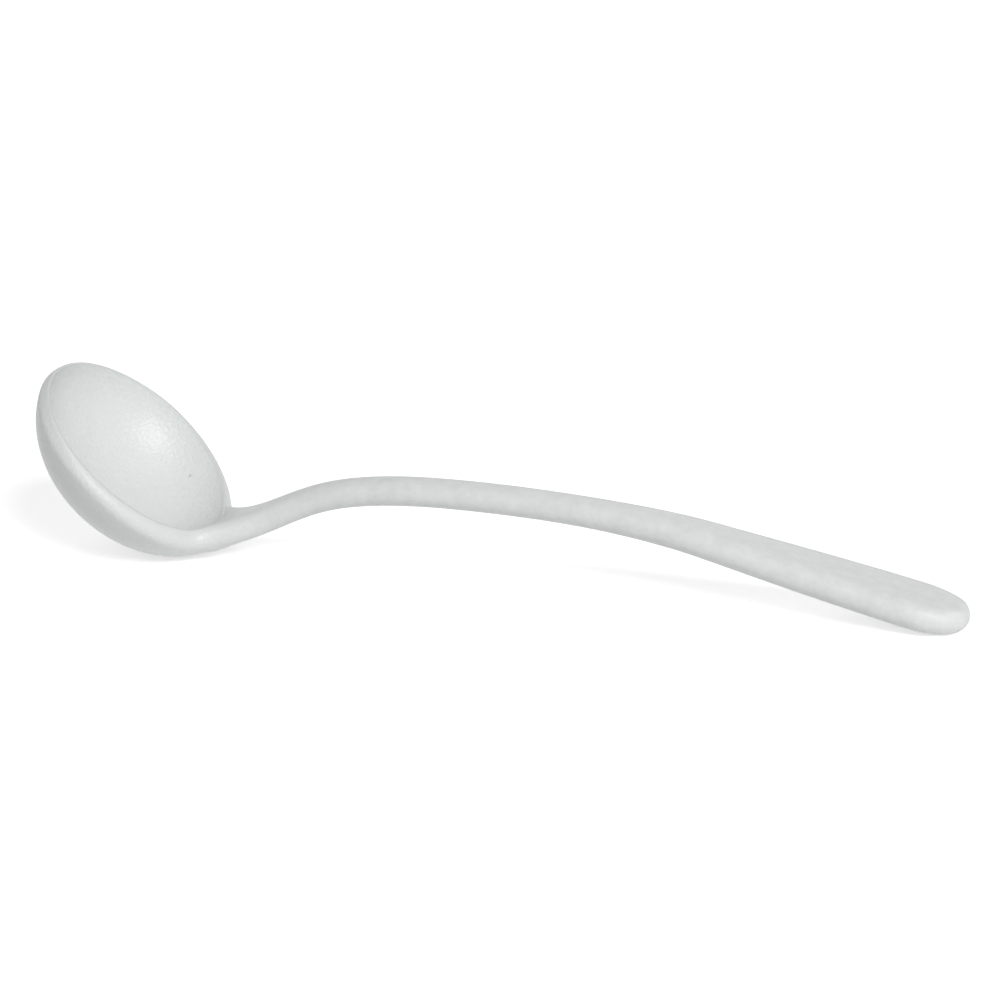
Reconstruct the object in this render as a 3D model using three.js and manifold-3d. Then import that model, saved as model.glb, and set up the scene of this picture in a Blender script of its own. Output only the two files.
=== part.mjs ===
// A serving ladle: one aluminium casting (bowl, stem and grip) under a thick white coat.
// Millimetres, +Z up. The ladle lies as a spoon does, on its bowl and on the end of its grip.
// The handle points to +X, and the origin is under the middle of the ladle, on the table.
import * as THREE from "three";
import { mergeVertices } from "three/addons/utils/BufferGeometryUtils.js";
import Module from "manifold-3d";

// Bowl
const BOWL_DIAMETER = 74.8; // over the lip
const BOWL_HEIGHT = 24.8; // from the crest of the lip to the outside of the bottom, along the bowl's axis
const BOWL_ARC = 76.3; // degrees of an ellipse, from the bottom, that the wall follows
const BOWL_FLOOR = 4; // wall at the bottom, coat on both faces
const BOWL_TILT = 42.8; // degrees that the mouth leans towards the handle
const BOWL_FLAT = 0.25; // how deep the rest under the bowl is ground flat
const LIP_FRONT = 3; // twice the radius of the lip's outer round, opposite the handle
const LIP_ROOT = 8.5; // twice the radius of the lip's outer round, where the handle grows out of it
const LIP_EDGE = 1.2; // radius of the lip's inner edge

// Handle
const ROOT_RISE = 13.7; // degrees at which the centre line leaves the lip
const ROOT_SOFTNESS = 35.2; // pull of the rise out of the lip
const ROOT_WIDTH = 27; // width of the flare at the lip
const ROOT_FLARE_LENGTH = 38; // from the lip to where the flare has become the stem
const ROOT_FLARE_POWER = 1.4; // how quickly the flare narrows, from 1 for evenly
const ROOT_HUG_POWER = 4; // how quickly the flare lets go of the lip's round, from 1 for evenly
const ROOT_SINK = 1.2; // how far the start of the flare lies under the face of the lip
const ROOT_TRIM = 0.5; // how far the root ends short of the bowl's inner face
const STEM_WIDTH = 11;
const STEM_THICKNESS = 8.5; // of stem and grip; both edges are full half rounds
const CREST_REACH = 105.9; // from the middle of the mouth to the top of the stem's bend
const CREST_HEIGHT = 26.8; // of the centre line above the table
const CREST_SOFTNESS_BACK = 56.3; // pull of the bend on the bowl's side
const CREST_SOFTNESS_FRONT = 29.4; // pull of the bend on the grip's side
const SHOULDER_REACH = 183.9; // from the middle of the mouth to where the grip runs straight
const SHOULDER_SOFTNESS = 20.6; // pull of the bend into the straight grip
const GRIP_SLOPE = 12.2; // degrees that the straight grip falls
const GRIP_LENGTH = 81.5; // straight stretch, from the shoulder to the very end
const GRIP_WIDTH = 26; // at the widest
const GRIP_FLARE_START = 130; // from the middle of the mouth to where the stem begins to widen
const GRIP_FLARE_END = 250; // from the middle of the mouth to where the grip is widest
const GRIP_END_LENGTH = 12; // length of the grip's round end
const GRIP_FLAT = 0.25; // how deep the rest under the grip's end is ground flat

// Coat
const COAT_THICKNESS = 0.6;
const BOND_GAP = 0.3; // between the coat and the casting
const NECK_REACH = 56; // from the middle of the mouth to where the two coats meet
const NECK_GAP = 0.3; // between the two coats

// How finely round forms are cut into flats
const BOWL_SIDES = 44;
const BOWL_STEPS = 12;
const LIP_STEPS = 6;
const EDGE_STEPS = 6;
const FACE_STEPS = 6;
const LEAST_FLAT = 0.2; // half the flat between the handle's round edges where it is narrowest
const RISE_STEPS = 18;
const FALL_STEPS = 8;
const GRIP_STEPS = 4;
const END_STEPS = 6;

const WHITE_COAT = { color: 0xdfe2e0, roughness: 0.45, metalness: 0 };
const CAST_METAL = { color: 0xb4b6b8, roughness: 0.5, metalness: 1 };

const wasm = await Module();
wasm.setup();

// Worked out from the sizes above
const tilt = THREE.MathUtils.degToRad(BOWL_TILT);
const slope = THREE.MathUtils.degToRad(GRIP_SLOPE);
const rise = THREE.MathUtils.degToRad(ROOT_RISE);
const bowlArc = THREE.MathUtils.degToRad(BOWL_ARC);
const bowlRadius = BOWL_DIAMETER / 2;
const lipLean = Math.atan2(
  bowlRadius * Math.cos(bowlArc) * (1 - Math.cos(bowlArc)),
  BOWL_HEIGHT * Math.sin(bowlArc) ** 2,
); // of the wall where it runs into the lip, from the bowl's axis
const mouthPoint = new THREE.Vector2(0, heightOverTable() - BOWL_FLAT); // middle of the lip's crest
const castInset = COAT_THICKNESS + BOND_GAP;
const beyond = BOWL_DIAMETER + GRIP_LENGTH + SHOULDER_REACH; // clear of the whole ladle

const outward = new THREE.Vector2(Math.cos(tilt), -Math.sin(tilt)); // across the mouth, towards the handle
const mouthAxis = new THREE.Vector2(Math.sin(tilt), Math.cos(tilt));
const gripDirection = new THREE.Vector2(Math.cos(slope), -Math.sin(slope));
const rootDirection = new THREE.Vector2(Math.cos(rise), Math.sin(rise));
const level = new THREE.Vector2(1, 0);
const rootPoint = mouthPoint.clone() // middle of the lip's outer round
  .addScaledVector(outward, bowlRadius - lipRadius(0))
  .addScaledVector(mouthAxis, -lipRadius(0));
const crestPoint = new THREE.Vector2(CREST_REACH, CREST_HEIGHT);
const gripHalf = STEM_THICKNESS / 2;
const gripEndHeight = gripHalf * (1 - Math.sin(slope)) - GRIP_FLAT;
const shoulderPoint = new THREE.Vector2(SHOULDER_REACH, gripEndHeight + GRIP_LENGTH * Math.sin(slope));

function solidOf(geometry) {
  const bare = geometry.clone();
  bare.deleteAttribute("normal");
  bare.deleteAttribute("uv");
  const merged = mergeVertices(bare, 1e-4);
  const mesh = new wasm.Mesh({
    numProp: 3,
    vertProperties: new Float32Array(merged.attributes.position.array),
    triVerts: new Uint32Array(merged.index.array),
  });
  return new wasm.Manifold(mesh);
}

function geometryOf(solid) {
  const mesh = solid.getMesh();
  const geometry = new THREE.BufferGeometry();
  geometry.setAttribute("position", new THREE.BufferAttribute(new Float32Array(mesh.vertProperties), 3));
  geometry.setIndex(new THREE.BufferAttribute(new Uint32Array(mesh.triVerts), 1));
  geometry.computeVertexNormals();
  return geometry;
}

// Radius of the lip's outer round at a turn round the mouth; turn 0 is at the handle.
function lipRadius(turn) {
  return (LIP_ROOT + LIP_FRONT + (LIP_ROOT - LIP_FRONT) * Math.cos(turn)) / 4;
}

// A point of the lip, thinned by the inset, as its distance from the bowl's axis and its height over the
// crest. The roll runs from the outer wall, at 0, over the crest to the inner wall, at pi.
function lipPoint(turn, roll, inset) {
  const angle = roll - lipLean;
  const radius = angle < Math.PI / 2 ? lipRadius(turn) : LIP_EDGE;
  return new THREE.Vector2(
    bowlRadius - lipRadius(turn) + (radius - inset) * Math.cos(angle),
    -radius + (radius - inset) * Math.sin(angle),
  );
}

// A point of one face of the wall, from the bottom on the axis, at climb 0, to the lip, at climb 1.
function facePoint(climb, rim, depth) {
  const angle = climb * bowlArc;
  const wide = Math.sin(angle) / Math.sin(bowlArc);
  const deep = (Math.cos(angle) - Math.cos(bowlArc)) / (1 - Math.cos(bowlArc));
  return new THREE.Vector2(rim.x * wide, rim.y * wide ** 2 - depth * deep);
}

function outerPoint(turn, climb, inset) {
  return facePoint(climb, lipPoint(turn, 0, inset), BOWL_HEIGHT - inset);
}

function innerPoint(turn, climb, inset) {
  return facePoint(climb, lipPoint(turn, Math.PI, inset), BOWL_HEIGHT - BOWL_FLOOR + inset);
}

// How high the middle of the mouth stands when the tilted bowl touches the table.
function heightOverTable() {
  const drops = [];
  for (let i = 0; i <= BOWL_STEPS; i += 1) {
    const point = outerPoint(0, i / BOWL_STEPS, 0);
    drops.push(point.x * Math.sin(tilt) - point.y * Math.cos(tilt));
  }
  return Math.max(...drops);
}

// A place in the bowl: a distance from its axis, a height over the lip's crest and a turn round it.
function bowlPlace(point, turn) {
  const along = point.x * Math.cos(turn);
  return new THREE.Vector3(
    mouthPoint.x + outward.x * along + mouthAxis.x * point.y,
    point.x * Math.sin(turn),
    mouthPoint.y + outward.y * along + mouthAxis.y * point.y,
  );
}

function bowlRing(pointAt) {
  const ring = [];
  for (let k = 0; k < BOWL_SIDES; k += 1) {
    const turn = (-2 * Math.PI * k) / BOWL_SIDES;
    ring.push(bowlPlace(pointAt(turn), turn));
  }
  return ring;
}

// The bowl's wall and its lip, thinned on every face by the inset.
function bowlSolid(inset) {
  const rings = [];
  for (let i = 1; i <= BOWL_STEPS; i += 1) {
    rings.push(bowlRing((turn) => outerPoint(turn, i / BOWL_STEPS, inset)));
  }
  for (let i = 1; i < LIP_STEPS; i += 1) {
    rings.push(bowlRing((turn) => lipPoint(turn, (i / LIP_STEPS) * Math.PI, inset)));
  }
  for (let i = BOWL_STEPS; i >= 1; i -= 1) {
    rings.push(bowlRing((turn) => innerPoint(turn, i / BOWL_STEPS, inset)));
  }
  return lofted(rings, bowlPlace(outerPoint(0, 0, inset), 0), bowlPlace(innerPoint(0, 0, inset), 0));
}

// The bowl's hollow, widened on every face by the inset, with the space over the mouth.
function hollowSolid(inset) {
  const above = new THREE.Vector2(0, BOWL_HEIGHT);
  const rings = [bowlRing((turn) => innerPoint(turn, 1, inset).add(above))];
  for (let i = BOWL_STEPS; i >= 1; i -= 1) {
    rings.push(bowlRing((turn) => innerPoint(turn, i / BOWL_STEPS, inset)));
  }
  return lofted(rings.reverse(), bowlPlace(innerPoint(0, 0, inset), 0), bowlPlace(above, 0));
}

// Stations along a curve that leaves the start and reaches the end in the given directions.
// The last station belongs to the next stretch.
function bend(start, startDirection, startPull, end, endDirection, endPull, steps) {
  const curve = new THREE.CubicBezierCurve(
    start,
    start.clone().addScaledVector(startDirection, startPull),
    end.clone().addScaledVector(endDirection, -endPull),
    end,
  );
  const stations = [];
  for (let i = 0; i < steps; i += 1) {
    stations.push({ point: curve.getPoint(i / steps), direction: curve.getTangent(i / steps) });
  }
  return stations;
}

// Stations of the handle's centre line, from inside the lip to the start of the round end.
function centreLine() {
  const straight = GRIP_LENGTH - GRIP_END_LENGTH;
  const stations = [
    ...bend(rootPoint, rootDirection, ROOT_SOFTNESS, crestPoint, level, CREST_SOFTNESS_BACK, RISE_STEPS),
    ...bend(
      crestPoint, level, CREST_SOFTNESS_FRONT, shoulderPoint, gripDirection, SHOULDER_SOFTNESS, FALL_STEPS,
    ),
  ];
  for (let i = 0; i <= GRIP_STEPS; i += 1) {
    const point = shoulderPoint.clone().addScaledVector(gripDirection, (straight * i) / GRIP_STEPS);
    stations.push({ point, direction: gripDirection });
  }
  return stations;
}

// How much of the root is left at a distance from the middle of the mouth, from 1 to 0.
function rootLeft(reach) {
  return 1 - THREE.MathUtils.clamp((reach - rootPoint.x) / ROOT_FLARE_LENGTH, 0, 1);
}

function handleWidth(reach) {
  const flare = rootLeft(reach) ** ROOT_FLARE_POWER;
  const grip = THREE.MathUtils.smoothstep(reach, GRIP_FLARE_START, GRIP_FLARE_END);
  return STEM_WIDTH + (ROOT_WIDTH - STEM_WIDTH) * flare + (GRIP_WIDTH - STEM_WIDTH) * grip;
}

// How closely the handle hugs the lip, from 1 at the root to 0 past the flare.
function lipHug(reach) {
  return rootLeft(reach) ** ROOT_HUG_POWER;
}

function handleThickness(reach) {
  return THREE.MathUtils.lerp(STEM_THICKNESS, LIP_ROOT - 2 * ROOT_SINK, lipHug(reach));
}

// Points round a slab with half-round edges, clockwise from the top of one edge.
function slabSection(halfWidth, halfHeight) {
  const straight = Math.max(halfWidth - halfHeight, LEAST_FLAT);
  const section = [];
  for (const side of [1, -1]) {
    for (let i = 0; i <= EDGE_STEPS; i += 1) {
      const turn = side * (Math.PI / 2) - (i / EDGE_STEPS) * Math.PI;
      const across = side * straight + halfHeight * Math.cos(turn);
      section.push(new THREE.Vector2(across, halfHeight * Math.sin(turn)));
    }
    for (let i = 1; i < FACE_STEPS; i += 1) {
      section.push(new THREE.Vector2(side * straight * (1 - (2 * i) / FACE_STEPS), -side * halfHeight));
    }
  }
  return section;
}

// One ring of the handle, square to the centre line. In the flare the slab hugs the lip: it bends
// round the bowl's axis, fully at hug 1 and not at all at hug 0.
function ringAt({ point, direction }, halfWidth, halfHeight, hug) {
  const up = new THREE.Vector2(-direction.y, direction.x);
  return slabSection(halfWidth, halfHeight).map(({ x: across, y: height }) => {
    const place = point.clone().addScaledVector(up, height);
    const bendRadius = place.clone().sub(mouthPoint).dot(outward);
    place.addScaledVector(outward, hug * (Math.sqrt(bendRadius ** 2 - across ** 2) - bendRadius));
    return new THREE.Vector3(place.x, across, place.y);
  });
}

// The whole handle, thinned on every face by the inset. It starts inside the lip.
function handleSolid(inset) {
  const line = centreLine();
  const rings = line.map((station) => {
    const { x } = station.point;
    return ringAt(station, handleWidth(x) / 2 - inset, handleThickness(x) / 2 - inset, lipHug(x));
  });
  const endStart = line[line.length - 1].point;
  const half = gripHalf - inset;
  const endLength = GRIP_END_LENGTH - inset;
  const endWidth = handleWidth(endStart.x) / 2 - inset;
  for (let i = 1; i < END_STEPS; i += 1) {
    const turn = (i / END_STEPS) * (Math.PI / 2);
    const left = endLength * (1 - Math.sin(turn));
    const height = left < half ? Math.sqrt(half * half - (half - left) ** 2) : half;
    const point = endStart.clone().addScaledVector(gripDirection, endLength - left);
    const width = Math.max(endWidth * Math.cos(turn), height);
    rings.push(ringAt({ point, direction: gripDirection }, width, height, 0));
  }
  const end = endStart.clone().addScaledVector(gripDirection, endLength);
  return lofted(rings, onMiddle(line[0].point), onMiddle(end));
}

// A point of the upright plane through the middle of the ladle.
function onMiddle(point) {
  return new THREE.Vector3(point.x, 0, point.y);
}

// A closed solid through rings of equally many points, each clockwise seen from the side of the end.
function lofted(rings, start, end) {
  const count = rings[0].length;
  const points = [start, ...rings.flat(), end];
  const index = [];
  const tail = points.length - 1;
  for (let k = 0; k < count; k += 1) {
    const next = (k + 1) % count;
    index.push(0, 1 + k, 1 + next);
    index.push(tail, tail - count + next, tail - count + k);
    for (let r = 0; r < rings.length - 1; r += 1) {
      const a = 1 + r * count + k;
      const b = 1 + r * count + next;
      index.push(a, a + count, b);
      index.push(b, a + count, b + count);
    }
  }
  const geometry = new THREE.BufferGeometry().setFromPoints(points);
  geometry.setIndex(index);
  return solidOf(geometry);
}

// The ladle's whole form, thinned on every face by the inset.
function ladleForm(inset) {
  return bowlSolid(inset).add(handleSolid(inset).subtract(hollowSolid(inset + ROOT_TRIM)));
}

// A block that fills everything to one side of the neck, square to the centre line there.
function neckBlock(side) {
  const line = centreLine();
  const i = line.findIndex((station) => station.point.x >= NECK_REACH);
  const [before, after] = [line[i - 1].point, line[i].point];
  const middle = before.clone().lerp(after, (NECK_REACH - before.x) / (after.x - before.x));
  const geometry = new THREE.BoxGeometry(beyond, beyond, beyond);
  geometry.translate((side * (beyond + NECK_GAP)) / 2, 0, 0);
  geometry.rotateY(-after.clone().sub(before).angle());
  geometry.translate(middle.x, 0, middle.y);
  return solidOf(geometry);
}

function belowTable() {
  const geometry = new THREE.BoxGeometry(beyond * 2, beyond * 2, beyond);
  geometry.translate(0, 0, -beyond / 2);
  return solidOf(geometry);
}

function piece(name, solid, finish) {
  const mesh = new THREE.Mesh(geometryOf(solid), new THREE.MeshStandardMaterial(finish));
  mesh.name = name;
  return mesh;
}

const skin = ladleForm(0).subtract(belowTable()).subtract(ladleForm(COAT_THICKNESS));
const ladle = new THREE.Group();
ladle.add(
  piece("bowl_coat", skin.intersect(neckBlock(-1)), WHITE_COAT),
  piece("handle_coat", skin.intersect(neckBlock(1)), WHITE_COAT),
  piece("cast_core", ladleForm(castInset), CAST_METAL),
);

// The origin goes under the middle of the ladle.
const reach = new THREE.Box3().setFromObject(ladle);
ladle.position.x = -(reach.min.x + reach.max.x) / 2;

const part = new THREE.Group();
part.add(ladle);

export default part;
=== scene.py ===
"""A white coated serving ladle, dressed for a plain studio picture.

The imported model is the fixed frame. The coat is made over it as one unbroken skin: a bowl blank and a
handle blank follow the ladle's own rules, and the skin grows over both with a filled corner at the root,
as a thick coat does on a casting. All lengths are in metres.
"""

from __future__ import annotations

import logging
import math
from collections.abc import Callable
from dataclasses import dataclass
from enum import Enum
from typing import Any

import bmesh
import bpy
import numpy as np
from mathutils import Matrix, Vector
from mathutils.bvhtree import BVHTree

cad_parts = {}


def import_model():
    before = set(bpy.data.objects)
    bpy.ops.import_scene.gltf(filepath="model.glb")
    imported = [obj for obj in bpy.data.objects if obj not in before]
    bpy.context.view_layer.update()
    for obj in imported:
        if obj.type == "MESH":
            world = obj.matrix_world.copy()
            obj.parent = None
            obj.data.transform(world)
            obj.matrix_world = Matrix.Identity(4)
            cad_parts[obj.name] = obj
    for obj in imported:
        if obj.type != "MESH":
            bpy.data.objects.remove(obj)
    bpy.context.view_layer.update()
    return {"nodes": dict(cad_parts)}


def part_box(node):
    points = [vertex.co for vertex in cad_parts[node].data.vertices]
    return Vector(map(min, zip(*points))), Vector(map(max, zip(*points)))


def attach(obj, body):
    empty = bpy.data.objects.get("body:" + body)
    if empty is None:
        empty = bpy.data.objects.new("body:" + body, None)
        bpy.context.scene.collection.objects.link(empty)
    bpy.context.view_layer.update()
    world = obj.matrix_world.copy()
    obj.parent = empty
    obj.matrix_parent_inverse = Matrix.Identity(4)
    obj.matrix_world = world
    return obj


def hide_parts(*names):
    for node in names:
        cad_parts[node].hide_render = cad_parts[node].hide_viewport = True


LOG = logging.getLogger("ladle")
BODY = "root"
TINY = 1e-9  # Keeps divisors off zero.


class CadNode(Enum):
    """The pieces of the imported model."""

    BOWL_COAT = "bowl_coat"
    HANDLE_COAT = "handle_coat"
    CAST_CORE = "cast_core"


class Slot(Enum):
    """The record's material slots."""

    WHITE_COAT = "white_coat"
    CAST_ALUMINIUM = "cast_aluminium"


def worked_out(operation: str, swapped: bool = False) -> Callable[..., Amount]:
    """Makes a method that works out one operation.

    Args:
        operation: The Math node's operation.
        swapped: Whether the amount itself comes last.

    Returns:
        The method.
    """

    def method(amount: Amount, *others: Term) -> Amount:
        """Works out the operation on the amount and the other terms."""
        terms = (*others, amount) if swapped else (amount, *others)
        return amount.bench.math(operation, *terms)

    return method


class Amount:
    """A number that nodes work out, so that a rule for a form or a finish reads as a formula."""

    def __init__(self, bench: NodeBench, socket: bpy.types.NodeSocket) -> None:
        """Wraps a socket of the bench's tree."""
        self.bench = bench
        self.socket = socket

    __add__ = __radd__ = worked_out("ADD")
    __sub__ = worked_out("SUBTRACT")
    __rsub__ = worked_out("SUBTRACT", swapped=True)
    __mul__ = __rmul__ = worked_out("MULTIPLY")
    __truediv__ = worked_out("DIVIDE")
    __rtruediv__ = worked_out("DIVIDE", swapped=True)
    __pow__ = worked_out("POWER")
    __gt__ = worked_out("GREATER_THAN")
    sine = worked_out("SINE")
    cosine = worked_out("COSINE")

    def root(self) -> Amount:
        """Square root, zero below zero."""
        return self.bench.math("SQRT", self.bench.math("MAXIMUM", self, 0.0))

    def clamped(self) -> Amount:
        """The number held between zero and one."""
        node = self.bench.node("ShaderNodeClamp", {"Value": self})
        return Amount(self.bench, node.outputs[0])

    def eased(self, start: Term, end: Term) -> Amount:
        """A soft step from zero at the start to one at the end."""
        node = self.bench.node(
            "ShaderNodeMapRange",
            {"Value": self, "From Min": start, "From Max": end},
            interpolation_type="SMOOTHSTEP",
        )
        return Amount(self.bench, node.outputs["Result"])


Term = Amount | bpy.types.NodeSocket | float


class NodeBench:
    """One node tree under construction."""

    def __init__(self, tree: bpy.types.NodeTree) -> None:
        """Takes the tree that is worked on."""
        self.tree = tree

    def feed(self, socket: bpy.types.NodeSocket, term: Any) -> None:
        """Joins a socket to a node's result, or sets its own value.

        Args:
            socket: The input to feed.
            term: An amount, a socket, or a plain value.
        """
        source = term.socket if isinstance(term, Amount) else term
        if isinstance(source, bpy.types.NodeSocket):
            self.tree.links.new(source, socket)
        else:
            socket.default_value = source

    def node(self, kind: str, inputs: dict[Any, Any] | None = None, **settings: Any) -> bpy.types.Node:
        """Places a node.

        Args:
            kind: The node's type.
            inputs: What its inputs are fed with, by name or place.
            settings: The node's own options.

        Returns:
            The node.
        """
        node = self.tree.nodes.new(kind)
        for name, value in settings.items():
            setattr(node, name, value)
        for key, term in (inputs or {}).items():
            self.feed(node.inputs[key], term)
        return node

    def math(self, operation: str, *terms: Term) -> Amount:
        """Returns the result of one operation of the Math node on terms, in order."""
        node = self.node("ShaderNodeMath", dict(enumerate(terms)), operation=operation)
        return Amount(self, node.outputs[0])

    def axes(self, vector: bpy.types.NodeSocket) -> tuple[Amount, ...]:
        """Splits a vector into its three amounts."""
        node = self.node("ShaderNodeSeparateXYZ", {0: vector})
        return tuple(Amount(self, socket) for socket in node.outputs)

    def measured(self, operation: str, first: Any, second: Any) -> Amount:
        """Works out a number from two vectors, such as their distance."""
        node = self.node("ShaderNodeVectorMath", {0: first, 1: second}, operation=operation)
        return Amount(self, node.outputs["Value"])

    def vector(self, x: Term, y: Term, z: Term) -> bpy.types.NodeSocket:
        """Makes a vector of three amounts."""
        return self.node("ShaderNodeCombineXYZ", {0: x, 1: y, 2: z}).outputs[0]


class ShapeTree(NodeBench):
    """A Geometry Nodes tree with named inputs, run on a carrier object and baked to a plain mesh."""

    MERGE_DISTANCE = 1e-7

    def __init__(self, name: str) -> None:
        """Starts an empty tree with geometry in and out."""
        tree = bpy.data.node_groups.new(name, "GeometryNodeTree")
        tree.interface.new_socket("Geometry", in_out="INPUT", socket_type="NodeSocketGeometry")
        tree.interface.new_socket("Geometry", in_out="OUTPUT", socket_type="NodeSocketGeometry")
        super().__init__(tree)
        self.entry = self.node("NodeGroupInput")
        self.values: dict[str, float | int] = {}

    def size(self, name: str, value: float | int) -> Amount:
        """Adds a named input.

        Args:
            name: What the input is called.
            value: The value that this object gives it.

        Returns:
            The input's amount.
        """
        kind = "NodeSocketInt" if isinstance(value, int) else "NodeSocketFloat"
        socket = self.tree.interface.new_socket(name, in_out="INPUT", socket_type=kind)
        self.values[socket.identifier] = value
        return Amount(self, self.entry.outputs[name])

    def sizes(self, form: Any, *fields: str) -> list[Amount]:
        """Adds a named input for each of a form's fields and returns their amounts."""
        return [self.size(field.replace("_", " ").title(), getattr(form, field)) for field in fields]

    def grid(self, across: Amount, along: Amount) -> tuple[bpy.types.NodeSocket, Amount, Amount]:
        """Makes a net of quads to be shaped by a rule.

        Args:
            across: Steps in the first direction.
            along: Steps in the second direction.

        Returns:
            The net, and each point's share of the way in both directions.
        """
        node = self.node("GeometryNodeMeshGrid", {"Vertices X": across + 1.0, "Vertices Y": along + 1.0})
        share_across, share_along, _ = self.axes(node.outputs["UV Map"])
        return node.outputs["Mesh"], share_across, share_along

    def closed(self, net: bpy.types.NodeSocket, place: bpy.types.NodeSocket) -> bpy.types.NodeSocket:
        """Puts a net's points in their places and welds its seam and poles.

        Args:
            net: The net.
            place: Where each point goes.

        Returns:
            The closed form.
        """
        shaped = self.node("GeometryNodeSetPosition", {"Geometry": net, "Position": place})
        welded = self.node(
            "GeometryNodeMergeByDistance",
            {"Geometry": shaped.outputs[0], "Distance": self.MERGE_DISTANCE},
        )
        return welded.outputs[0]

    def bake(
        self, carrier: bpy.types.Object, geometry: bpy.types.NodeSocket, material: bpy.types.Material,
    ) -> bpy.types.Mesh:
        """Ends the tree, runs it on an object and takes it off again.

        Args:
            carrier: The object that the tree runs on.
            geometry: The tree's last geometry.
            material: The finish of the result.

        Returns:
            The result as a plain mesh.
        """
        real = self.node("GeometryNodeRealizeInstances", {"Geometry": geometry})
        dressed = self.node("GeometryNodeSetMaterial", {"Geometry": real.outputs[0], "Material": material})
        self.node("NodeGroupOutput", {"Geometry": dressed.outputs[0]})
        modifier = carrier.modifiers.new(self.tree.name, "NODES")
        modifier.node_group = self.tree
        for identifier, value in self.values.items():
            modifier[identifier] = value
        mesh = baked(carrier)
        carrier.modifiers.remove(modifier)
        return mesh


def baked(carrier: bpy.types.Object) -> bpy.types.Mesh:
    """Returns an object's mesh with its modifiers applied."""
    graph = bpy.context.evaluated_depsgraph_get()
    return bpy.data.meshes.new_from_object(carrier.evaluated_get(graph), depsgraph=graph)


def placed(name: str, data: bpy.types.ID) -> bpy.types.Object:
    """Returns a new object of the scene that holds the data."""
    thing = bpy.data.objects.new(name, data)
    bpy.context.scene.collection.objects.link(thing)
    return thing


def discard(thing: bpy.types.Object) -> None:
    """Takes an object that has done its work out of the file."""
    bpy.data.objects.remove(thing, do_unlink=True)


def corner_points(mesh: bpy.types.Mesh) -> np.ndarray:
    """Returns a mesh's points, one a row."""
    points = np.empty(len(mesh.vertices) * 3)
    mesh.vertices.foreach_get("co", points)
    return points.reshape(-1, 3)


def move_corners(mesh: bpy.types.Mesh, points: np.ndarray) -> None:
    """Moves a mesh's points, one a row, to new places."""
    mesh.vertices.foreach_set("co", points.reshape(-1))
    mesh.update()


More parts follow.
